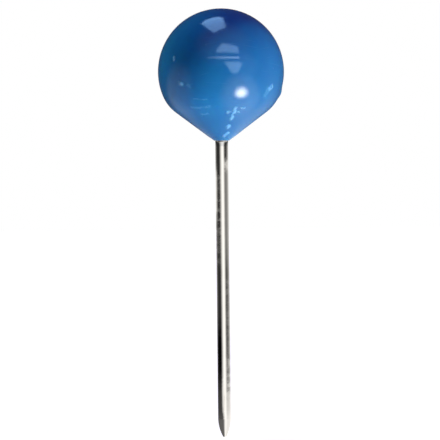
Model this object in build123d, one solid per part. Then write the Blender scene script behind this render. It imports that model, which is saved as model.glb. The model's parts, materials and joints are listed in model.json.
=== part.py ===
from build123d import *
import os
from math import cos, radians, sin

# A ball-head push pin, in millimetres: a moulded plastic head on a steel needle.
# The origin is on the needle's axis, where the needle leaves the head. That is the face of
# the board when the pin is pushed home. +Z runs up through the head, and the point is down.

# Head
HEAD_DIAMETER = 6.35
SHOULDER_ANGLE = 22.5  # degrees below the ball's equator, where the shoulder leaves the ball
SHOULDER_RADIUS = 2.0  # the curve that carries the ball over into the cone
CONE_HALF_ANGLE = 53.0  # degrees between the cone's side and the needle
NECK_LIP = 0.06  # flat ring of plastic that closes round the needle

# Needle, outside the head
WIRE_DIAMETER = 0.65
EXPOSED_LENGTH = 15.0  # from the neck to the tip
POINT_LENGTH = 1.0
NOSE_RADIUS = 0.1  # how blunt the ground point is

# Needle, inside the head
ANCHOR_PAST_CENTRE = 0.75  # the needle's end stands this far above the ball's centre
BUTTON_OVERHANG = 0.22  # the end is struck into a button, wider than the wire all round
BUTTON_HEIGHT = 0.45
BUTTON_EDGE_RADIUS = 0.12
GROOVE_COUNT = 7  # rolled side by side, from the neck up to the button
GROOVE_DEPTH = 0.06

# Sizes that follow from the ones above
HEAD_RADIUS = HEAD_DIAMETER / 2
WIRE_RADIUS = WIRE_DIAMETER / 2
NECK_RADIUS = WIRE_RADIUS + NECK_LIP


def polar(radius, angle_below):
    """A point at this radius, at an angle in degrees below the horizontal."""
    return radius * cos(radians(angle_below)), -radius * sin(radians(angle_below))


def ball_centre_height():
    """The height at which the cone, tangent to the shoulder, comes down on the neck's edge."""
    turn = radians(CONE_HALF_ANGLE - SHOULDER_ANGLE)
    cone_distance = SHOULDER_RADIUS + (HEAD_RADIUS - SHOULDER_RADIUS) * cos(turn)
    across, down = polar(1, CONE_HALF_ANGLE)
    return (cone_distance - NECK_RADIUS * across) / -down


def turned(outline):
    """The solid that a closed half outline sweeps round the needle's axis."""
    return revolve(Plane.XZ * make_face(outline), Axis.Z)


def point_outline():
    """The nose and the rounded taper that meets the wire without an edge."""
    tip = -EXPOSED_LENGTH
    taper = POINT_LENGTH - NOSE_RADIUS
    reach = WIRE_RADIUS**2 + taper**2 - NOSE_RADIUS**2
    taper_radius = reach / (2 * (WIRE_RADIUS - NOSE_RADIUS))
    share = NOSE_RADIUS / (taper_radius - NOSE_RADIUS)
    nose_end = (
        (taper_radius - WIRE_RADIUS) * share,
        tip + NOSE_RADIUS - taper * share,
    )
    nose = TangentArc((0, tip), nose_end, tangent=(1, 0))
    side = TangentArc(nose_end, (WIRE_RADIUS, tip + POINT_LENGTH), tangent=nose % 1)
    return [nose, side]


def groove_outline(lower, upper):
    """One rolled groove with straight sides, which the plastic flows into."""
    root = (WIRE_RADIUS - GROOVE_DEPTH, (lower + upper) / 2)
    return [Line((WIRE_RADIUS, lower), root), Line(root, (WIRE_RADIUS, upper))]


def button_outline(top):
    """The struck end, from the wire under it to the axis on top."""
    under = top - BUTTON_HEIGHT
    edge_middle = WIRE_RADIUS + BUTTON_OVERHANG - BUTTON_EDGE_RADIUS
    lower = CenterArc((edge_middle, under + BUTTON_EDGE_RADIUS), BUTTON_EDGE_RADIUS, -90, 90)
    upper = CenterArc((edge_middle, top - BUTTON_EDGE_RADIUS), BUTTON_EDGE_RADIUS, 0, 90)
    return [
        Line((WIRE_RADIUS, under), lower @ 0),
        lower,
        Line(lower @ 1, upper @ 0),
        upper,
        Line(upper @ 1, (0, top)),
    ]


def needle():
    """Drawn wire with a ground point, rolled grooves and a struck button."""
    top = ball_centre_height() + ANCHOR_PAST_CENTRE
    pitch = (top - BUTTON_HEIGHT) / GROOVE_COUNT
    outline = point_outline()
    outline += [Line(outline[-1] @ 1, (WIRE_RADIUS, 0))]
    for step in range(GROOVE_COUNT):
        outline += groove_outline(step * pitch, (step + 1) * pitch)
    outline += button_outline(top)
    outline += [Line(outline[-1] @ 1, outline[0] @ 0)]
    return turned(outline)


def ball_head(insert):
    """The ball, its shoulder and cone, moulded round the needle so that no gap is left."""
    centre = ball_centre_height()
    crown = (0, centre + HEAD_RADIUS)
    across, down = polar(HEAD_RADIUS, SHOULDER_ANGLE)
    ball = TangentArc(crown, (across, centre + down), tangent=(1, 0))
    middle_across, middle_down = polar(HEAD_RADIUS - SHOULDER_RADIUS, SHOULDER_ANGLE)
    across, down = polar(SHOULDER_RADIUS, CONE_HALF_ANGLE)
    shoulder_end = (middle_across + across, centre + middle_down + down)
    shoulder = TangentArc(ball @ 1, shoulder_end, tangent=ball % 1)
    cone = Line(shoulder_end, (NECK_RADIUS, 0))
    neck = Line(cone @ 1, (0, 0))
    axis = Line((0, 0), crown)
    return turned([ball, shoulder, cone, neck, axis]) - insert


os.makedirs("parts", exist_ok=True)
steel = needle()
export_step(steel, "parts/needle.step")
export_step(ball_head(steel), "parts/ball_head.step")
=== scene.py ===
"""Looks of a ball-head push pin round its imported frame: a moulded blue head on a steel needle."""

import json
import math

import bpy
from mathutils import Matrix, Vector


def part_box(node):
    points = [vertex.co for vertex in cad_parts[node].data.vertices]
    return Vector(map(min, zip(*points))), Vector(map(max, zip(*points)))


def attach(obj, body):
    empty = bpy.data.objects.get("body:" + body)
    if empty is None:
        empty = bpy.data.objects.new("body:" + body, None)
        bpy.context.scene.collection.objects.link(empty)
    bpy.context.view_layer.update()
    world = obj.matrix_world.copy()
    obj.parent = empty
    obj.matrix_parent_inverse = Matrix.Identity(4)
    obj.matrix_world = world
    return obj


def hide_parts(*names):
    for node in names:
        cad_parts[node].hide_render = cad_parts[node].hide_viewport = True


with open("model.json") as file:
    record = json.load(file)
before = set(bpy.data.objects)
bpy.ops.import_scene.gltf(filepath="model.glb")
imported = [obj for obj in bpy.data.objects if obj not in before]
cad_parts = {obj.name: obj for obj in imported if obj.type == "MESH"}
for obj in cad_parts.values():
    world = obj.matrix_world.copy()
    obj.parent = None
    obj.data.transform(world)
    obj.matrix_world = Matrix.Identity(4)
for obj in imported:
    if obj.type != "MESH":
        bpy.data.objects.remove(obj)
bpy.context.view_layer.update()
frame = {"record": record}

bl_info = {
    "name": "Push pin",
    "version": (1, 0, 0),
    "blender": (4, 5, 0),
    "location": "3D View > Sidebar > Push pin",
    "description": "Models a ball-head push pin with its finishes and a small studio",
    "category": "Object",
}

MM = 0.001
MICROWATT = 1e-6
BODY = "root"

# Places and sizes that the frame gives
SHANK = next(m["dims"] for m in frame["record"]["mounts"] if m["name"] == "needle_shank")
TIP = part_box("needle")[0].z
ANCHOR_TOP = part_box("needle")[1].z
BUTTON_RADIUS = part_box("needle")[1].x
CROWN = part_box("ball_head")[1].z
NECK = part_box("ball_head")[0].z

# How finely the meshes are made
HEAD_SEGMENTS = 192
NEEDLE_SEGMENTS = 64
TENT_SEGMENTS = 64
SLEEVE_SEGMENTS = 96
BALL_STEPS = 60
SHOULDER_STEPS = 16
CONE_STEPS = 28
TAPER_STEPS = 20
SHANK_STEPS = 40
EDGE_STEPS = 6
DOME_STEPS = 16
CHIP_CUTS = 2
WELD = 1e-7
SMOOTH_ANGLE = math.radians(32)

# Marks on the head: chips, whose burrs are real and whose pale colour is a painted glint, and rubs,
# pale marks that are painted glints. Each has a start and an end on its skin, and a width, in
# millimetres.
CHIPS_AND_GLINTS = (
    ((0.29, -2.08, 1.30), (0.39, -2.10, 1.32), 0.12),
    ((0.68, -2.24, 1.48), (0.63, -2.02, 1.30), 0.15),
    ((0.63, -2.02, 1.30), (0.53, -1.90, 1.20), 0.10),
    ((0.80, -1.98, 1.32), (0.88, -1.91, 1.30), 0.09),
    ((0.53, -1.78, 1.12), (0.49, -1.64, 1.00), 0.15),
    ((0.98, -2.17, 1.51), (1.12, -2.07, 1.50), 0.10),
    ((0.35, -1.25, 0.70), (0.28, -1.12, 0.58), 0.14),
    ((0.28, -0.78, 0.33), (0.15, -0.64, 0.20), 0.15),
    ((2.50, -1.72, 2.56), (2.42, -1.79, 2.47), 0.20),
    ((-2.02, -2.34, 2.75), (-1.97, -2.38, 2.73), 0.20),
    ((-2.32, -2.10, 4.02), (-2.31, -2.13, 3.95), 0.14),
)
# Rubs: pale marks on the plastic that are painted glints.
GLINT_RUBS = (
    ((2.33, -1.85, 2.38), (2.18, -1.89, 2.16), 0.28),
    ((-1.62, -2.59, 2.61), (-1.56, -2.61, 2.58), 0.18),
    ((-1.47, -1.95, 1.56), (-0.58, -2.39, 1.58), 0.14),
    ((-0.96, -1.78, 1.23), (-0.69, -1.93, 1.25), 0.14),
    ((-1.36, -2.42, 1.96), (-0.68, -2.65, 1.90), 0.08),
)

# Finer mesh round a chip, in millimetres beyond its width
CHIP_MARGIN = 0.3
# Share of a chip's width that stands up, and the reach of its slope in burr heights
CHIP_CREST = 0.6
CHIP_SLOPE = 4

# Grain of the plastic, in cells to the metre
CLOUD_GRAIN = 420
WAVE_GRAIN = 600
SMEAR_GRAIN = 700
HAIRLINE_PATCHES = 750
HAIRLINE_GRAIN = 1500
SPECK_GRAIN = 1500
SEAM_GRAIN = 1800
NECK_GRAIN = 2600
RAGGED_GRAIN = 4000
CRUMB_GRAIN = 5000
SKIN_GRAIN = 9000

# How long the hairlines are drawn out, how fine they are in the noise, and their turns in radians
HAIRLINE_DRAW = 18
HAIRLINE_WIDTH = 0.012
HAIRLINE_TURNS = (1.45, 1.7)

# How strongly the marks show on the plastic, where the pale chips and rubs are painted glints, and
# how much they dull its gloss
LINE_LEVEL = 0.5
SPECK_LEVEL = 0.4
WORN_LEVEL = 0.6
SCUFF_AND_GLINT_SHARE = 0.4
CHIP_GLINT_SHARE = 0.85
MARK_ROUGHNESS = 0.2

# Heights in the plastic's skin, and how far the edges of marks are shaken
WAVE_HEIGHT = 0.0015 * MM
SKIN_HEIGHT = 0.0001 * MM
LINE_HEIGHT = 0.002 * MM
CRUMB_HEIGHT = 0.02 * MM
RAGGED_REACH = 0.2 * MM

# Grain of the steel, in cells to the metre
PATCH_GRAIN = 1600
DENT_GRAIN = 2200
DRAW_GRAIN = 9000
WHEEL_GRAIN = 16000

# How strongly the dull patches show on the steel, and how much they roughen it
DULL_SHARE = 0.6
DULL_ROUGHNESS = 0.12

# Heights in the steel's skin, and the soft end of the ground point
DENT_HEIGHT = 0.005 * MM
DRAW_HEIGHT = 0.0012 * MM
WHEEL_HEIGHT = 0.0025 * MM
GROUND_FADE = 0.05 * MM

# Where the distant lamps stand, seen from the pin, and how wide they look
KEY_FROM = (0.62, -0.48, -0.62)
TOP_FROM = (0.433, -0.15, 0.888)
BACK_FROM = (-0.883, 0.321, 0.342)
FILL_FROM = (0.1, 0.98, -0.15)
LAMP_WIDTH = math.radians(10)

# The catch-light's small round lamp: its place in millimetres, and its direction from the ball
CATCH_AT = (1.533, -3.248, 1.548)
CATCH_FROM = (0.552, -0.511, -0.658)
CATCH_RADIUS = 0.72 * MM
CATCH_CORE = 0.15
CATCH_RIM_LEVEL = 0.04
CATCH_SPREAD = math.radians(70)
CATCH_TINT = (1, 0.97, 0.9, 1)

# The tent round the head. Its light grows as a power along a direction, and is dimmer behind.
TENT_RADIUS = 60 * MM
TENT_RIM = 3.2 * MM
TENT_DROP = 0.1 * MM
TENT_SLOPE = (0.13, 0.02, -0.16)
TENT_BASE = 0.76
TENT_POWER = 5
TENT_BEHIND = 0.3

# Soft patches in the tent: a direction, the cosine at which it has faded out, and its level
TENT_PATCHES = (
    ((0.1, -0.66, 0.72), 0.6, 0.3),
    ((0.47, -0.66, -0.58), 0.82, 1.25),
    ((-0.9, -0.1, -0.42), 0.75, 0.42),
    ((0.72, -0.68, 0.12), 0.9, 0.3),
    ((0.3, -0.2, -0.93), 0.92, 0.35),
)

# The cup round the needle, and the soft gaps in its dark flags
SLEEVE_RADIUS = 20 * MM
SLEEVE_TOP = 1 * MM
SLEEVE_LIFT = 0.05 * MM
SLEEVE_TINT = (1.33, 1.3, 1.25, 1)
SLAT_PITCH = 0.1 * MM
SLAT_FADE = 0.8 * MM
SLAT_GRAIN = 700
SLAT_SWING = 8

# Cards that draw the skylight and the window on the ball, with corners and fades in millimetres
CARDS = {
    "skylight": {
        "corners": (
            (-8.6, 3.3, 24),
            (-5.7, 5.5, 24),
            (-1.2, 6.3, 24),
            (1.1, 5.4, 24),
            (3.0, -5.0, 24),
            (-3.5, -9.7, 24),
            (-6.5, -5.2, 24),
        ),
        "left": (1.6, 3.1, 5.2),
        "fade": 0.8,
    },
    "window_upper": {
        "corners": (
            (0.07, -4.25, 6.34),
            (2.04, -4.12, 5.91),
            (2.28, -4.72, 5.02),
            (-0.66, -5.28, 5.20),
            (-0.71, -4.94, 5.66),
        ),
        "left": (1.8, 2.8, 4.0),
        "fade": 0.36,
    },
    "window_bar": {
        "corners": (
            (-1.65, -5.01, 4.82),
            (-0.56, -4.95, 4.72),
            (0.31, -4.89, 4.69),
            (1.14, -4.82, 4.70),
            (2.09, -4.70, 4.80),
            (2.11, -4.79, 4.56),
            (1.15, -4.91, 4.48),
            (0.31, -4.98, 4.46),
            (-0.57, -5.04, 4.52),
            (-1.66, -5.07, 4.67),
        ),
        "left": (0.5, 0.7, 1.0),
        "right": (2.7, 3.7, 5.0),
    },
    "window_lower": {
        "corners": (
            (0.10, -5.46, 4.38),
            (2.05, -4.52, 4.30),
            (2.45, -4.34, 3.99),
            (2.12, -4.56, 3.14),
            (1.94, -4.67, 2.72),
            (1.13, -5.06, 2.70),
        ),
        "left": (2.1, 3.1, 3.9),
        "fade": 0.36,
    },
}
# Share of a card's width over which its left colour turns into its right one
CARD_RISE = 0.6

# The floor's width and the camera's reach, in metres
FLOOR_SIZE = 4.0
CLIP_END = 10


def length(name, description, default):
    """A property that holds a size in metres."""
    return bpy.props.FloatProperty(
        name=name, description=description, default=default, min=0, precision=5, unit="LENGTH"
    )


def angle(name, description, degrees):
    """A property that holds an angle."""
    return bpy.props.FloatProperty(
        name=name, description=description, default=math.radians(degrees), subtype="ANGLE"
    )


def colour(name, description, default):
    """A property that holds a linear colour."""
    return bpy.props.FloatVectorProperty(
        name=name, description=description, default=default, min=0, max=1, subtype="COLOR"
    )


def number(name, description, default):
    """A property that holds a plain number."""
    return bpy.props.FloatProperty(name=name, description=description, default=default, min=0)


class PinHeadSettings(bpy.types.PropertyGroup):
    """Sizes and colours of the moulded head"""

    diameter: length("Ball diameter", "Across the ball's equator", 6.35 * MM)
    shoulder_angle: angle("Shoulder angle", "Below the equator, where the ball ends", 22.5)
    shoulder_radius: length("Shoulder radius", "Curve from the ball into the cone", 2.0 * MM)
    cone_half_angle: angle("Cone half angle", "Between the cone's side and the needle", 53.0)
    neck_lip: length("Neck lip", "Flat ring of plastic round the needle", 0.06 * MM)
    parting_width: length("Parting line width", "Witness of the mould's two halves", 0.05 * MM)
    parting_height: length("Parting line height", "How far the witness stands out", 0.008 * MM)
    gate_angle: angle("Gate angle", "Below the equator, where the plastic came in", 21.3)
    gate_width: length("Gate width", "Across the trimmed gate mark", 0.8 * MM)
    gate_height: length("Gate height", "How far the gate mark stands out", 0.05 * MM)
    chip_height: length("Chip height", "How far a burr stands out", 0.012 * MM)
    plastic: colour("Plastic", "Colour of the moulded plastic", (0.003, 0.252, 0.59))
    streak: colour("Streak", "Denser pigment along the flow", (0.002, 0.198, 0.51))
    # The scuff colour paints real scuffs, and also the painted glints of the rubs and chips.
    scuff_and_glint: colour("Scuff", "Bruised plastic on edges and scratches", (0.09, 0.43, 0.75))
    # The chip colour is a painted glint on the chips' real burrs.
    chip: colour("Chip", "Plastic that has turned pale in a chip", (0.19, 0.58, 0.96))


class PinNeedleSettings(bpy.types.PropertyGroup):
    """Sizes and colours of the steel needle"""

    wire_radius: length("Wire radius", "Half of the wire's diameter", SHANK["r_mm"] * MM)
    shank_length: length("Shank length", "Straight wall below the head", SHANK["length_mm"] * MM)
    nose_radius: length("Nose radius", "How blunt the ground point is", 0.1 * MM)
    groove_count: bpy.props.IntProperty(
        name="Grooves", description="Rolled side by side inside the head", default=7, min=1
    )
    groove_depth: length("Groove depth", "From the wire's surface to a groove's root", 0.06 * MM)
    button_height: length("Button height", "The struck end inside the head", 0.45 * MM)
    button_edge: length("Button edge", "Rounding of the button's rim", 0.12 * MM)
    plating: colour("Plating", "Bright plated steel", (0.80, 0.79, 0.77))
    tarnish: colour("Tarnish", "Dulled plating in the draw marks", (0.45, 0.42, 0.38))


class PinStageSettings(bpy.types.PropertyGroup):
    """Camera and light of the small studio"""

    lens: number("Lens", "Focal length in millimetres", 150.0)
    view_height: length("View height", "Height of the picture at the pin", 22.224 * MM)
    view_x: length("View across", "From the needle left to the picture's middle", 0.127 * MM)
    view_z: length("View down", "From the neck down to the picture's middle", 4.012 * MM)
    roll: angle("Roll", "Turn of the camera about its own line of sight", 0.6)
    sky: colour("Sky", "Colour of the even light and the top light", (0.45, 0.28, 1.0))
    ambient: number("Ambient", "Level of the even light from all round", 0.05)
    key: number("Key", "Level of the light from below on the right", 0.94)
    top: number("Top", "Level of the light from above", 0.25)
    back: number("Back", "Level of the light from behind on the left", 0.42)
    rear: colour("Rear", "Colour of the light from behind on the left", (0.9, 1.0, 0.85))
    fill: number("Fill", "Level of the light from straight behind", 0.4)
    catch_light: number("Catch-light", "Power of the small round lamp in microwatts", 15.5)
    floor: colour("Floor", "Pale floor", (0.8, 0.8, 0.8))
    floor_glow: number("Floor glow", "What the floor adds to be seen as white", 0.88)


class Outline:
    """A half outline on the XZ plane, drawn point by point and then turned about the Z axis."""

    def __init__(self, name, start):
        bpy.ops.object.select_all(action="DESELECT")
        bpy.ops.mesh.primitive_plane_add(size=MM)
        self.piece = bpy.context.object
        self.piece.name = self.piece.data.name = name
        bpy.ops.object.mode_set(mode="EDIT")
        bpy.ops.mesh.merge(type="CENTER")
        bpy.ops.transform.translate(value=(start[0], 0, start[1]))
        self.end = Vector(start)

    def line(self, end, steps=1):
        """A straight run to a point, in equal steps."""
        step = (Vector(end) - self.end) / steps
        move = {"value": (step.x, 0, step.y)}
        for _ in range(steps):
            bpy.ops.mesh.extrude_region_move(TRANSFORM_OT_translate=move)
        self.end = Vector(end)

    def arc(self, middle, turn, steps):
        """An arc about a middle point. A positive turn is clockwise, seen with X to the right."""
        centre = (middle[0], 0, middle[1])
        bpy.ops.mesh.spin(steps=steps, angle=turn, center=centre, axis=(0, -1, 0))
        self.end = Vector(middle) + Matrix.Rotation(-turn, 2) @ (self.end - Vector(middle))

    def turn(self, segments):
        """The closed piece that the outline sweeps round the needle's axis."""
        bpy.ops.mesh.select_all(action="SELECT")
        bpy.ops.mesh.spin(steps=segments, angle=math.tau, center=(0, 0, 0), axis=(0, 0, 1))
        bpy.ops.mesh.select_all(action="SELECT")
        bpy.ops.mesh.remove_doubles(threshold=WELD)
        bpy.ops.mesh.normals_make_consistent(inside=False)
        bpy.ops.object.mode_set(mode="OBJECT")
        return self.piece


def polar(radius, below):
    """A point at this radius, at an angle below the horizontal."""
    return Vector((radius * math.cos(below), -radius * math.sin(below)))


def draw_anchor(outline, needle):
    """The grooves and the button inside the head, from the neck up to the axis."""
    under = ANCHOR_TOP - needle.button_height
    pitch = (under - NECK) / needle.groove_count
    for step in range(needle.groove_count):
        lower = NECK + step * pitch
        outline.line((needle.wire_radius - needle.groove_depth, lower + pitch / 2))
        outline.line((needle.wire_radius, lower + pitch))
    rim = BUTTON_RADIUS - needle.button_edge
    outline.line((rim, under))
    outline.arc((rim, under + needle.button_edge), -math.pi / 2, EDGE_STEPS)
    outline.line((BUTTON_RADIUS, ANCHOR_TOP - needle.button_edge))
    outline.arc((rim, ANCHOR_TOP - needle.button_edge), -math.pi / 2, EDGE_STEPS)
    outline.line((0, ANCHOR_TOP))


def turn_head(head, needle):
    """The ball, shoulder, cone and lip, with a seat that is the needle's own shape."""
    radius = head.diameter / 2
    middle = Vector((0, CROWN - radius))
    outline = Outline("pin_head", (0, CROWN))
    outline.arc(middle, math.pi / 2 + head.shoulder_angle, BALL_STEPS)
    shoulder = middle + polar(radius - head.shoulder_radius, head.shoulder_angle)
    outline.arc(shoulder, head.cone_half_angle - head.shoulder_angle, SHOULDER_STEPS)
    outline.line((needle.wire_radius + head.neck_lip, NECK), CONE_STEPS)
    outline.line((needle.wire_radius, NECK))
    draw_anchor(outline, needle)
    return outline.turn(HEAD_SEGMENTS)


def on_skin(point):
    """True for a point of the head's outside, and not of the seat round the needle."""
    return math.hypot(point.x, point.y) > BUTTON_RADIUS + WELD or point.z > ANCHOR_TOP + WELD


def choose(elements, test, place):
    """Selects the elements of a mesh whose place passes a test, and no others."""
    bpy.ops.object.mode_set(mode="OBJECT")
    for kind in ("vertices", "edges", "polygons"):
        every = getattr(bpy.context.object.data, kind)
        every.foreach_set("select", [False] * len(every))
    for element in getattr(bpy.context.object.data, elements):
        element.select = test(getattr(element, place))
    bpy.ops.object.mode_set(mode="EDIT")


def raise_parting_line(head):
    """The fine witness line where the mould's two halves met, round the head in the XZ plane."""
    for side in (-1, 1):
        choose("polygons", on_skin, "center")
        bpy.ops.mesh.bisect(
            plane_co=(0, side * head.parting_width / 2, 0), plane_no=(0, 1, 0), threshold=WELD
        )
    choose("vertices", lambda point: abs(point.y) < WELD and on_skin(point), "co")
    bpy.ops.transform.shrink_fatten(value=head.parting_height)
    bpy.ops.object.mode_set(mode="OBJECT")


def raise_gate_mark(head):
    """The low trimmed mark on the parting line where the plastic came in."""
    outward = polar(1, head.gate_angle)
    gate = Vector((0, CROWN - head.diameter / 2)) + outward * head.diameter / 2
    place = Vector((gate.x, 0, gate.y))
    vertices = bpy.context.object.data.vertices
    nearest = min(vertices, key=lambda vertex: (vertex.co - place).length).co.copy()
    bpy.ops.object.mode_set(mode="EDIT")
    bpy.ops.mesh.select_mode(type="VERT")
    choose("vertices", lambda point: (point - nearest).length < WELD, "co")
    bpy.ops.transform.translate(
        value=Vector((outward.x, 0, outward.y)) * head.gate_height,
        use_proportional_edit=True,
        proportional_edit_falloff="SMOOTH",
        proportional_size=head.gate_width / 2,
    )
    bpy.ops.object.mode_set(mode="OBJECT")


def on_mark(point, start, end, width):
    """True for a point on a mark, whose ends and width are in millimetres."""
    start, end = Vector(start) * MM, Vector(end) * MM
    run = end - start
    share = (point - start).dot(run) / run.length_squared
    return (point - start - run * min(max(share, 0), 1)).length < width * MM / 2


def on_chip(point, share, margin):
    """True for a point on a chip, taken at a share of its width and with a margin."""
    return any(on_mark(point, start, end, width * share + margin) for start, end, width in CHIPS_AND_GLINTS)


def raise_chips(head):
    """The burrs of the chipped strip down the cone, and of the chips on the right and the left."""
    bpy.ops.object.mode_set(mode="EDIT")
    bpy.ops.mesh.select_mode(type="FACE")
    choose("polygons", lambda point: on_chip(point, 1, CHIP_MARGIN), "center")
    bpy.ops.mesh.subdivide(number_cuts=CHIP_CUTS)
    # Faces round the finer mesh now have more than four corners, and are split from their middles
    bpy.ops.mesh.select_all(action="DESELECT")
    bpy.ops.mesh.select_face_by_sides(number=4, type="GREATER")
    bpy.ops.mesh.poke()
    bpy.ops.mesh.select_mode(type="VERT")
    choose("vertices", lambda point: on_chip(point, CHIP_CREST, 0), "co")
    bpy.ops.transform.shrink_fatten(
        value=head.chip_height,
        use_proportional_edit=True,
        proportional_edit_falloff="SMOOTH",
        proportional_size=head.chip_height * CHIP_SLOPE,
    )
    bpy.ops.object.mode_set(mode="OBJECT")


def turn_needle(needle):
    """The wire with its ground point, and the grooves and button inside the head."""
    wire, nose = needle.wire_radius, needle.nose_radius
    shoulder = NECK - needle.shank_length
    taper = shoulder - TIP - nose
    side_radius = (wire**2 + taper**2 - nose**2) / (2 * (wire - nose))
    lean = math.atan2(taper, side_radius - wire)
    outline = Outline("pin_needle", (0, TIP))
    outline.arc((0, TIP + nose), lean - math.pi / 2, EDGE_STEPS)
    outline.arc((wire - side_radius, shoulder), -lean, TAPER_STEPS)
    outline.line((wire, NECK), SHANK_STEPS)
    draw_anchor(outline, needle)
    return outline.turn(NEEDLE_SEGMENTS)


# Sockets of a Mix node that carry colours
MIX_FIRST = 6
MIX_SECOND = 7
MIX_RESULT = 2


class Nodes:
    """A node tree that is filled node by node."""

    def __init__(self, owner):
        owner.use_nodes = True
        self.tree = owner.node_tree
        self.tree.nodes.clear()

    def add(self, kind, inputs=None, **settings):
        """A node with its settings, and its inputs either linked or set."""
        node = self.tree.nodes.new("ShaderNode" + kind)
        for name, value in settings.items():
            setattr(node, name, value)
        for name, value in (inputs or {}).items():
            self.feed(node.inputs[name], value)
        return node

    def feed(self, socket, value):
        """Links a socket to another one, or sets it."""
        if isinstance(value, bpy.types.NodeSocket):
            self.tree.links.new(value, socket)
        else:
            socket.default_value = value

    def ramp(self, value, low, high, to_low=0.0, to_high=1.0):
        """A value taken smoothly from one range to another."""
        inputs = {"Value": value, "From Min": low, "From Max": high}
        inputs.update({"To Min": to_low, "To Max": to_high})
        return self.add("MapRange", inputs, interpolation_type="SMOOTHSTEP").outputs["Result"]

    def math(self, operation, first, second=0.0):
        """One sum on two values."""
        return self.add("Math", {0: first, 1: second}, operation=operation).outputs["Value"]

    def chain(self, operation, values):
        """One sum carried along some values."""
        result = values[0]
        for value in values[1:]:
            result = self.math(operation, result, value)
        return result

    def most(self, *values):
        """The largest of some values."""
        return self.chain("MAXIMUM", values)

    def total(self, *values):
        """Some values added up."""
        return self.chain("ADD", values)

    def product(self, *values):
        """Some values multiplied."""
        return self.chain("MULTIPLY", values)

    def mix(self, share, first, second):
        """Two colours mixed."""
        node = self.add("Mix", {"Factor": share}, data_type="RGBA")
        for socket, value in ((MIX_FIRST, first), (MIX_SECOND, second)):
            value = value if isinstance(value, bpy.types.NodeSocket) else (*value, 1)
            self.feed(node.inputs[socket], value)
        return node.outputs[MIX_RESULT]

    def vector(self, operation, first, second):
        """One sum on two vectors that gives a vector."""
        return self.add("VectorMath", {0: first, 1: second}, operation=operation).outputs["Vector"]

    def measure(self, operation, first, second):
        """One sum on two vectors that gives a value."""
        return self.add("VectorMath", {0: first, 1: second}, operation=operation).outputs["Value"]

    def noise(self, place, scale, detail=2.0, stretch=(1, 1, 1), offset=(0, 0, 0)):
        """Soft noise, from 0 to 1."""
        inputs = {"Vector": place, "Scale": stretch, "Location": offset}
        moved = self.add("Mapping", inputs).outputs["Vector"]
        inputs = {"Vector": moved, "Scale": scale, "Detail": detail}
        return self.add("TexNoise", inputs).outputs["Fac"]

    def bump(self, height, distance, under=None):
        """A height turned into a bent normal, over an earlier one."""
        inputs = {"Height": height, "Distance": distance}
        if under is not None:
            inputs["Normal"] = under
        return self.add("Bump", inputs).outputs["Normal"]

    def finish(self, shader, kind="Material"):
        """Links the shader to the output."""
        self.add("Output" + kind, {"Surface": shader.outputs[0]})


def around_axis(nodes, parts):
    """The angle of a place round the needle, from the front and towards the right."""
    return nodes.math("ARCTAN2", parts["X"], nodes.product(parts["Y"], -1))


def hairlines(nodes, place, turn):
    """Fine rubbed lines on the ball: the level lines of a long-drawn noise, kept in patches."""
    parts = nodes.add("SeparateXYZ", {0: place}).outputs
    radius = CROWN / 2
    around = nodes.product(around_axis(nodes, parts), radius)
    flat = nodes.add("CombineXYZ", {"X": around, "Y": parts["Z"]}).outputs["Vector"]
    drawn = {"Vector": flat, "Rotation": (0, 0, turn), "Scale": (1, HAIRLINE_DRAW, 1)}
    drawn = nodes.add("Mapping", drawn, vector_type="TEXTURE").outputs["Vector"]
    wave = {"Vector": drawn, "Scale": HAIRLINE_GRAIN, "Detail": 0.0}
    wave = nodes.math("SUBTRACT", nodes.add("TexNoise", wave).outputs["Fac"], 0.5)
    line = nodes.ramp(nodes.math("ABSOLUTE", wave), 0.0, HAIRLINE_WIDTH, 1, 0)
    patch = nodes.noise(place, HAIRLINE_PATCHES, detail=1, offset=(turn, 0, 0))
    return nodes.product(line, nodes.ramp(patch, 0.58, 0.7))


def near_line(nodes, place, start, end, width):
    """1 on a straight line between two points, and fading to 0 at a width from it."""
    start, end = Vector(start) * MM, Vector(end) * MM
    run = end - start
    off = nodes.vector("SUBTRACT", place, start)
    along = nodes.measure("DOT_PRODUCT", off, run / run.length_squared)
    share = nodes.add("Clamp", {"Value": along}).outputs["Result"]
    foot = nodes.add("VectorMath", {0: run, "Scale": share}, operation="SCALE").outputs["Vector"]
    gap = nodes.measure("DISTANCE", off, foot)
    return nodes.ramp(gap, 0.2 * width * MM, width * MM, 1, 0)


def shaken(nodes, place, scale, reach):
    """Places moved about by a noise, so that straight marks turn ragged."""
    inputs = {"Vector": place, "Scale": scale, "Detail": 2.0}
    noise = nodes.add("TexNoise", inputs).outputs["Color"]
    swing = nodes.vector("SUBTRACT", noise, (0.5, 0.5, 0.5))
    moved = {0: swing, 1: (reach, reach, reach), 2: place}
    return nodes.add("VectorMath", moved, operation="MULTIPLY_ADD").outputs["Vector"]


def specks_of_dust(nodes, place):
    """Small specks in a few cells of the skin."""
    cells = nodes.add("TexVoronoi", {"Vector": place, "Scale": SPECK_GRAIN}).outputs
    lot = nodes.add("SeparateColor", {0: cells["Color"]}).outputs[0]
    return nodes.product(
        nodes.ramp(cells["Distance"], 0.05, 0.14, 1, 0), nodes.ramp(lot, 0.86, 0.9)
    )


def worn_edges(nodes, place):
    """Bruises at the neck, and rubbed stretches of the parting line."""
    parts = nodes.add("SeparateXYZ", {0: place}).outputs
    near_neck = nodes.ramp(parts["Z"], 0.05 * MM, 0.5 * MM, 1, 0)
    bruised = nodes.ramp(nodes.noise(place, NECK_GRAIN, detail=3), 0.4, 0.65)
    seam = nodes.ramp(nodes.math("ABSOLUTE", parts["Y"]), 0.01 * MM, 0.045 * MM, 1, 0)
    rubbed = nodes.ramp(nodes.noise(place, SEAM_GRAIN), 0.4, 0.7)
    return nodes.most(nodes.product(near_neck, bruised), nodes.product(seam, rubbed))


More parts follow.
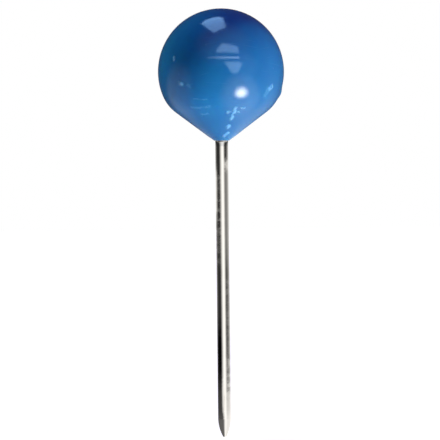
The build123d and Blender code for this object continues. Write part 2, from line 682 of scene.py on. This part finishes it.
def head_plastic(head):
    """Glossy dyed plastic: pigment clouds, a wavy skin, scratches, chips and bruised edges, with
    painted glints in the pale chips and rubs.
    """
    material = bpy.data.materials.new("head_plastic")
    nodes = Nodes(material)
    place = nodes.add("TexCoord").outputs["Object"]

    cloud = nodes.noise(place, CLOUD_GRAIN, detail=3, stretch=(1, 1, 0.45))
    pigment = nodes.mix(nodes.ramp(cloud, 0.35, 0.7), head.plastic, head.streak)

    lines = nodes.most(*(hairlines(nodes, place, turn) for turn in HAIRLINE_TURNS))
    lines = nodes.product(lines, LINE_LEVEL)
    specks = specks_of_dust(nodes, place)
    ragged = shaken(nodes, place, RAGGED_GRAIN, RAGGED_REACH)
    broken = nodes.ramp(nodes.noise(place, CRUMB_GRAIN, detail=3), 0.28, 0.5)
    # Chips: real burrs in the mesh, whose pale colour below is a painted glint.
    chips = nodes.most(*(near_line(nodes, ragged, *chip) for chip in CHIPS_AND_GLINTS))
    chips = nodes.product(chips, broken)
    # Rubs: pale marks that are painted glints.
    glint_rubs = nodes.most(*(near_line(nodes, ragged, *glint_rub) for glint_rub in GLINT_RUBS))
    faint = nodes.product(specks, SPECK_LEVEL)
    worn = nodes.product(worn_edges(nodes, place), WORN_LEVEL)
    # The marks mix real scratches, specks and worn edges with the painted glints of the chips and
    # rubs.
    marks = nodes.most(lines, faint, chips, glint_rubs, worn)
    tint = nodes.mix(nodes.product(marks, SCUFF_AND_GLINT_SHARE), pigment, head.scuff_and_glint)
    # The chips' pale colour is a painted glint.
    tint = nodes.mix(nodes.product(chips, CHIP_GLINT_SHARE), tint, head.chip)

    smear = nodes.noise(place, SMEAR_GRAIN, detail=4, stretch=(1, 1, 0.4))
    smear = nodes.ramp(smear, 0.35, 0.75, 0.09, 0.15)
    roughness = nodes.total(smear, nodes.product(marks, MARK_ROUGHNESS))
    skin = nodes.bump(nodes.noise(place, WAVE_GRAIN), WAVE_HEIGHT)
    skin = nodes.bump(nodes.noise(place, SKIN_GRAIN), SKIN_HEIGHT, skin)
    skin = nodes.bump(nodes.math("SUBTRACT", specks, lines), LINE_HEIGHT, skin)
    skin = nodes.bump(chips, CRUMB_HEIGHT, skin)

    shader = nodes.add(
        "BsdfPrincipled",
        {
            "Base Color": tint,
            "Roughness": roughness,
            "Normal": skin,
            "IOR": 1.52,
            "Subsurface Weight": 0.3,
            "Subsurface Radius": (0.15, 0.5, 1.0),
            "Subsurface Scale": 0.6 * MM,
        },
    )
    nodes.finish(shader)
    return material


def needle_steel(needle):
    """Plated drawn wire: draw marks along it, an uneven skin, dull patches and a ground point."""
    material = bpy.data.materials.new("needle_steel")
    nodes = Nodes(material)
    place = nodes.add("TexCoord").outputs["Object"]
    parts = nodes.add("SeparateXYZ", {0: place}).outputs

    draw = nodes.noise(place, DRAW_GRAIN, detail=3, stretch=(1, 1, 0.03))
    patch = nodes.noise(place, PATCH_GRAIN, detail=3, stretch=(1, 1, 0.4))
    dull = nodes.product(nodes.ramp(draw, 0.5, 0.75), nodes.ramp(patch, 0.45, 0.7))
    tint = nodes.mix(nodes.product(dull, DULL_SHARE), needle.plating, needle.tarnish)
    polish = nodes.ramp(patch, 0.3, 0.7, 0.04, 0.09)
    roughness = nodes.total(polish, nodes.product(dull, DULL_ROUGHNESS))

    dents = nodes.bump(nodes.noise(place, DENT_GRAIN, stretch=(1, 1, 0.8)), DENT_HEIGHT)
    drawn = nodes.bump(draw, DRAW_HEIGHT, dents)
    shoulder = NECK - needle.shank_length
    ground = nodes.ramp(parts["Z"], shoulder - GROUND_FADE, shoulder + GROUND_FADE, 1, 0)
    rings = nodes.noise(place, WHEEL_GRAIN, stretch=(0.12, 0.12, 1))
    wheel = nodes.bump(nodes.product(rings, ground), WHEEL_HEIGHT, drawn)

    shader = nodes.add(
        "BsdfPrincipled",
        {"Base Color": tint, "Metallic": 1.0, "Roughness": roughness, "Normal": wheel},
    )
    nodes.finish(shader)
    return material


def dress(piece, node, material):
    """Gives a finished piece its material and its place in the frame."""
    piece.data.materials.clear()
    piece.data.materials.append(material)
    bpy.ops.object.select_all(action="DESELECT")
    piece.select_set(True)
    bpy.context.view_layer.objects.active = piece
    bpy.ops.object.shade_smooth_by_angle(angle=SMOOTH_ANGLE)
    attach(piece, BODY)
    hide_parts(node)


class PIN_OT_head(bpy.types.Operator):
    """Model the moulded ball head with its parting line, gate mark and chips"""

    bl_idname = "pin.head"
    bl_label = "Ball head"

    def execute(self, context):
        head = context.scene.pin_head
        piece = turn_head(head, context.scene.pin_needle)
        raise_parting_line(head)
        raise_gate_mark(head)
        raise_chips(head)
        dress(piece, "ball_head", head_plastic(head))
        return {"FINISHED"}


class PIN_OT_needle(bpy.types.Operator):
    """Model the steel needle with its ground point and its anchor"""

    bl_idname = "pin.needle"
    bl_label = "Needle"

    def execute(self, context):
        needle = context.scene.pin_needle
        piece = turn_needle(needle)
        dress(piece, "needle", needle_steel(needle))
        return {"FINISHED"}


def shown_mask(nodes):
    """1 for rays that show the background: of the camera, of gloss and through clear pieces."""
    ray = nodes.add("LightPath").outputs
    return nodes.most(ray["Is Camera Ray"], ray["Is Glossy Ray"], ray["Is Transmission Ray"])


def light_world(scene, stage):
    """White to the eye and in gloss, and an even light of the sky's colour on the pin."""
    scene.world = bpy.data.worlds.new("studio")
    nodes = Nodes(scene.world)
    sky = [stage.ambient * part for part in stage.sky]
    tint = nodes.mix(shown_mask(nodes), sky, (1, 1, 1))
    nodes.finish(nodes.add("Background", {"Color": tint}), "World")


def lay_floor(stage):
    """A pale light table under the point. It shows white, apart from the pin's shadow."""
    bpy.ops.object.select_all(action="DESELECT")
    bpy.ops.mesh.primitive_plane_add(size=FLOOR_SIZE, location=(0, 0, TIP))
    floor = bpy.context.object
    floor.name = "floor"
    material = bpy.data.materials.new("floor")
    nodes = Nodes(material)
    matt = nodes.add("BsdfDiffuse", {"Color": (*stage.floor, 1)})
    level = nodes.ramp(shown_mask(nodes), 0, 1, 0, stage.floor_glow)
    glow = nodes.add("Emission", {"Strength": level})
    nodes.finish(nodes.add("AddShader", {0: matt.outputs[0], 1: glow.outputs[0]}))
    floor.data.materials.append(material)
    floor.visible_shadow = False


def facing(direction):
    """The turn of a lamp that stands in a direction and shines back along it."""
    return Vector(direction).to_track_quat("Z", "Y").to_euler()


def add_sun(name, direction, level, tint=(1, 1, 1)):
    """A distant soft lamp, not seen in gloss. Level 1 shows a colour as it is written."""
    lamp = bpy.data.lights.new(name, "SUN")
    lamp.energy = level * math.pi
    lamp.color = tint
    lamp.angle = LAMP_WIDTH
    sun = bpy.data.objects.new(name, lamp)
    sun.rotation_euler = facing(direction)
    sun.visible_glossy = False
    bpy.context.scene.collection.objects.link(sun)


def show_in_gloss(piece, nodes, light):
    """Makes a stage piece shine with a light, for rays of gloss and no others."""
    nodes.finish(light)
    for ray in ("camera", "diffuse", "shadow", "transmission", "volume_scatter"):
        setattr(piece, "visible_" + ray, False)


def paint(piece):
    """A new material on a stage piece, ready for its nodes. It is never sampled as a lamp."""
    material = bpy.data.materials.new(piece.name)
    material.cycles.emission_sampling = "NONE"
    piece.data.materials.append(material)
    return Nodes(material)


def lobe(nodes, aim, direction, reach, level):
    """A soft patch of light round a direction. Reach is the cosine at which it has faded out."""
    cosine = nodes.measure("DOT_PRODUCT", aim, Vector(direction).normalized())
    return nodes.ramp(cosine, reach, 1, 0, level)


def slats(nodes, height, depth, low, high):
    """1, with soft gaps of a depth that come one under another between two heights."""
    inputs = {"W": height, "Scale": SLAT_GRAIN, "Detail": 1.0}
    noise = nodes.add("TexNoise", inputs, noise_dimensions="1D").outputs["Fac"]
    swing = nodes.product(noise, SLAT_SWING)
    phase = nodes.total(nodes.math("DIVIDE", height, SLAT_PITCH), swing)
    gap = nodes.product(
        nodes.ramp(nodes.math("SINE", phase), 0.2, 0.95),
        depth,
        nodes.ramp(height, low, low + SLAT_FADE),
        nodes.ramp(height, high, high + SLAT_FADE, 1, 0),
    )
    return nodes.math("SUBTRACT", 1, gap)


def left_flag(nodes, height, turn, along):
    """The dark flag on the left. It is paler in a window below the neck, and at its outer edge."""
    window = nodes.product(
        nodes.ramp(height, -4.4 * MM, -3.2 * MM),
        nodes.ramp(height, -1.4 * MM, -0.3 * MM, 0.6, 0),
        nodes.ramp(turn, -140, -80, 1, 0),
    )
    edge = nodes.product(
        nodes.ramp(height, -12.0 * MM, -8.0 * MM, 0.06, 0.25),
        nodes.ramp(turn, -150, -90, 1, 0),
    )
    swing = nodes.total(
        nodes.ramp(along, 8 * MM, 15 * MM, 18, -9),
        nodes.ramp(along, 20.9 * MM, 21.6 * MM, 0, 9),
    )
    inner = nodes.math("SUBTRACT", turn, swing)
    return nodes.product(
        nodes.ramp(inner, -52, 8, 1, 0),
        nodes.math("SUBTRACT", 1, nodes.most(window, edge)),
        nodes.ramp(height, -11.5 * MM, -9.5 * MM, 1, 0.975),
        slats(nodes, height, 0.14, -7.0 * MM, -1.5 * MM),
    )


def right_flag(nodes, height, turn, along):
    """The paler flag on the right. It is darkest above the point and under the neck."""
    on_foot = nodes.ramp(along, 8 * MM, 15 * MM, 0.2, 0.38)
    at_foot = nodes.ramp(height, TIP + 0.06 * MM, TIP + 0.6 * MM, 0, 0.37)
    above_foot = nodes.ramp(height, TIP + 0.6 * MM, TIP + 2.5 * MM, 0, 0.18)
    middle = nodes.ramp(height, -8.0 * MM, -5.0 * MM, 0, -0.12)
    gap = nodes.product(
        nodes.ramp(height, -1.1 * MM, -0.8 * MM),
        nodes.ramp(height, -0.6 * MM, -0.3 * MM, -0.3, 0),
    )
    near_neck = nodes.ramp(height, -0.5 * MM, 0, 0, 0.15)
    depth = nodes.ramp(height, -13.2 * MM, -11.8 * MM, 0.5, 0.15)
    return nodes.product(
        nodes.ramp(turn, 14, 55),
        nodes.ramp(turn, 70, 165, 1, 0.4),
        nodes.total(on_foot, at_foot, above_foot, middle, gap, near_neck),
        slats(nodes, height, depth, TIP + 0.1 * MM, -8.0 * MM),
    )


def needle_flags(nodes, place):
    """The needle's surround: white, with a dark flag on the left and a paler one on the right."""
    parts = nodes.add("SeparateXYZ", {0: place}).outputs
    height = parts["Z"]
    turn = nodes.math("DIVIDE", around_axis(nodes, parts), math.radians(1))
    reach = nodes.measure("DISTANCE", place, (0, 0, TIP))
    along = nodes.total(reach, nodes.math("SUBTRACT", height, TIP))
    left = left_flag(nodes, height, turn, along)
    right = right_flag(nodes, height, turn, along)
    level = nodes.math("SUBTRACT", 1, nodes.most(left, right))
    on_floor = nodes.ramp(height, TIP + 0.06 * MM, TIP + 0.4 * MM, 1, 0)
    near_tip = nodes.product(on_floor, nodes.ramp(reach, 4 * MM, 14 * MM, 0.11, 0.045))
    return nodes.most(level, near_tip, nodes.ramp(height, TIP, TIP + 2 * MM, 0.04, 0))


def pitch_tent(head):
    """A closed tent round the head. It is dark at the upper left and grows to the lower right."""
    outline = Outline("tent", (0, NECK - TENT_DROP))
    outline.line((TENT_RADIUS, TENT_RIM))
    outline.arc((0, TENT_RIM), -math.pi / 2, DOME_STEPS)
    tent = outline.turn(TENT_SEGMENTS)
    nodes = paint(tent)
    place = nodes.add("TexCoord").outputs["Object"]
    off = nodes.vector("SUBTRACT", place, (0, 0, CROWN - head.diameter / 2))
    aim = nodes.add("VectorMath", {0: off}, operation="NORMALIZE").outputs["Vector"]
    slope = nodes.total(nodes.measure("DOT_PRODUCT", aim, TENT_SLOPE), TENT_BASE)
    slope = nodes.math("POWER", slope, TENT_POWER)
    behind = nodes.measure("DOT_PRODUCT", aim, (0, 1, 0))
    slope = nodes.product(slope, nodes.ramp(behind, 0, 0.9, 1, TENT_BEHIND))
    glow = nodes.total(slope, *(lobe(nodes, aim, *patch) for patch in TENT_PATCHES))
    inside = nodes.add("NewGeometry").outputs["Backfacing"]
    shown = {"Factor": inside, "A": needle_flags(nodes, place), "B": glow}
    level = nodes.add("Mix", shown).outputs["Result"]
    show_in_gloss(tent, nodes, nodes.add("Emission", {"Strength": level}))


def wrap_sleeve():
    """A cup round the needle that gives the steel a bright core between two dark lines."""
    foot = TIP + SLEEVE_LIFT
    outline = Outline("sleeve", (0, foot))
    outline.line((SLEEVE_RADIUS, foot))
    outline.line((SLEEVE_RADIUS, SLEEVE_TOP))
    sleeve = outline.turn(SLEEVE_SEGMENTS)
    nodes = paint(sleeve)
    level = needle_flags(nodes, nodes.add("TexCoord").outputs["Object"])
    show_in_gloss(sleeve, nodes, nodes.add("Emission", {"Color": SLEEVE_TINT, "Strength": level}))


def soft_edges(nodes, place, corners, fade):
    """1 inside the corners of a flat card, falling to 0 over a width at its edges."""
    middle = sum(corners, Vector()) / len(corners)
    level = 1
    for start, end in zip(corners, corners[1:] + corners[:1]):
        run = (end - start).normalized()
        inward = middle - start
        inward = (inward - run * inward.dot(run)).normalized()
        edge = start.dot(inward)
        depth = nodes.measure("DOT_PRODUCT", place, inward)
        level = nodes.product(level, nodes.ramp(depth, edge, edge + fade))
    return level


def add_card(name, corners, left, right=None, fade=0.0):
    """A clear card that glows in gloss alone. Its colour runs from left to right along X."""
    bpy.ops.object.select_all(action="DESELECT")
    bpy.ops.mesh.primitive_circle_add(vertices=len(corners), fill_type="NGON")
    card = bpy.context.object
    card.name = name
    corners = [Vector(corner) * MM for corner in corners]
    for vertex, corner in zip(card.data.vertices, corners):
        vertex.co = corner
    nodes = paint(card)
    place = nodes.add("TexCoord").outputs["Object"]
    across = nodes.add("SeparateXYZ", {0: place}).outputs["X"]
    low, high = min(corner.x for corner in corners), max(corner.x for corner in corners)
    share = nodes.ramp(across, low, low + CARD_RISE * (high - low))
    level = soft_edges(nodes, place, corners, fade * MM) if fade else 1
    tint = nodes.mix(share, left, right or left)
    glow = nodes.add("Emission", {"Color": tint, "Strength": level})
    clear = nodes.add("BsdfTransparent")
    show_in_gloss(card, nodes, nodes.add("AddShader", {0: glow.outputs[0], 1: clear.outputs[0]}))


def add_catch_light(power):
    """A small round lamp close to the ball, seen in its gloss alone. It fades to its edge."""
    middle = Vector(CATCH_AT) * MM
    lamp = bpy.data.lights.new("catch_light", "AREA")
    lamp.shape = "DISK"
    lamp.size = 2 * CATCH_RADIUS
    lamp.spread = CATCH_SPREAD
    lamp.energy = power
    nodes = Nodes(lamp)
    place = nodes.add("NewGeometry").outputs["Position"]
    away = nodes.measure("DISTANCE", place, middle)
    level = nodes.ramp(away, CATCH_CORE * CATCH_RADIUS, CATCH_RADIUS, 1, CATCH_RIM_LEVEL)
    nodes.finish(nodes.add("Emission", {"Color": CATCH_TINT, "Strength": level}), "Light")
    holder = bpy.data.objects.new("catch_light", lamp)
    holder.location = middle
    holder.rotation_euler = facing(CATCH_FROM)
    holder.visible_camera = False
    holder.visible_diffuse = False
    bpy.context.scene.collection.objects.link(holder)


def set_camera(scene, stage):
    """A level long-lens camera in front of the pin."""
    camera = bpy.data.cameras.new("camera")
    camera.lens = stage.lens
    camera.clip_start = MM
    camera.clip_end = CLIP_END
    distance = stage.view_height * camera.lens / camera.sensor_width
    holder = bpy.data.objects.new("camera", camera)
    holder.location = (-stage.view_x, -distance, -stage.view_z)
    holder.rotation_euler = (math.pi / 2, stage.roll, 0)
    scene.collection.objects.link(holder)
    scene.camera = holder
    scene.view_settings.view_transform = "Standard"


class PIN_OT_stage(bpy.types.Operator):
    """Set up the floor, lamps, tent, sleeve, cards and camera"""

    bl_idname = "pin.stage"
    bl_label = "Studio"

    def execute(self, context):
        stage = context.scene.pin_stage
        light_world(context.scene, stage)
        lay_floor(stage)
        add_sun("key", KEY_FROM, stage.key)
        add_sun("top", TOP_FROM, stage.top, stage.sky)
        add_sun("back", BACK_FROM, stage.back, stage.rear)
        add_sun("fill", FILL_FROM, stage.fill)
        pitch_tent(context.scene.pin_head)
        wrap_sleeve()
        for name, card in CARDS.items():
            add_card(name, **card)
        add_catch_light(stage.catch_light * MICROWATT)
        set_camera(context.scene, stage)
        return {"FINISHED"}


class PIN_PT_panel(bpy.types.Panel):
    """Lists the steps and settings in the sidebar"""

    bl_idname = "PIN_PT_panel"
    bl_label = "Push pin"
    bl_space_type = "VIEW_3D"
    bl_region_type = "UI"
    bl_category = "Push pin"

    def draw(self, context):
        for operator, settings in STEPS:
            box = self.layout.box()
            box.operator(operator.bl_idname)
            group = getattr(context.scene, settings)
            for name in group.__annotations__:
                box.prop(group, name)


GROUPS = {
    "pin_head": PinHeadSettings,
    "pin_needle": PinNeedleSettings,
    "pin_stage": PinStageSettings,
}
STEPS = (
    (PIN_OT_head, "pin_head"),
    (PIN_OT_needle, "pin_needle"),
    (PIN_OT_stage, "pin_stage"),
)


def register():
    """Adds the settings, the steps and the panel to Blender."""
    for name, group in GROUPS.items():
        bpy.utils.register_class(group)
        setattr(bpy.types.Scene, name, bpy.props.PointerProperty(type=group))
    for operator, _ in STEPS:
        bpy.utils.register_class(operator)
    bpy.utils.register_class(PIN_PT_panel)


def unregister():
    """Takes them out again."""
    bpy.utils.unregister_class(PIN_PT_panel)
    for operator, _ in reversed(STEPS):
        bpy.utils.unregister_class(operator)
    for name, group in reversed(GROUPS.items()):
        delattr(bpy.types.Scene, name)
        bpy.utils.unregister_class(group)


def main():
    """Builds the pin and its studio."""
    register()
    bpy.ops.pin.head()
    bpy.ops.pin.needle()
    bpy.ops.pin.stage()


if __name__ == "__main__":
    main()
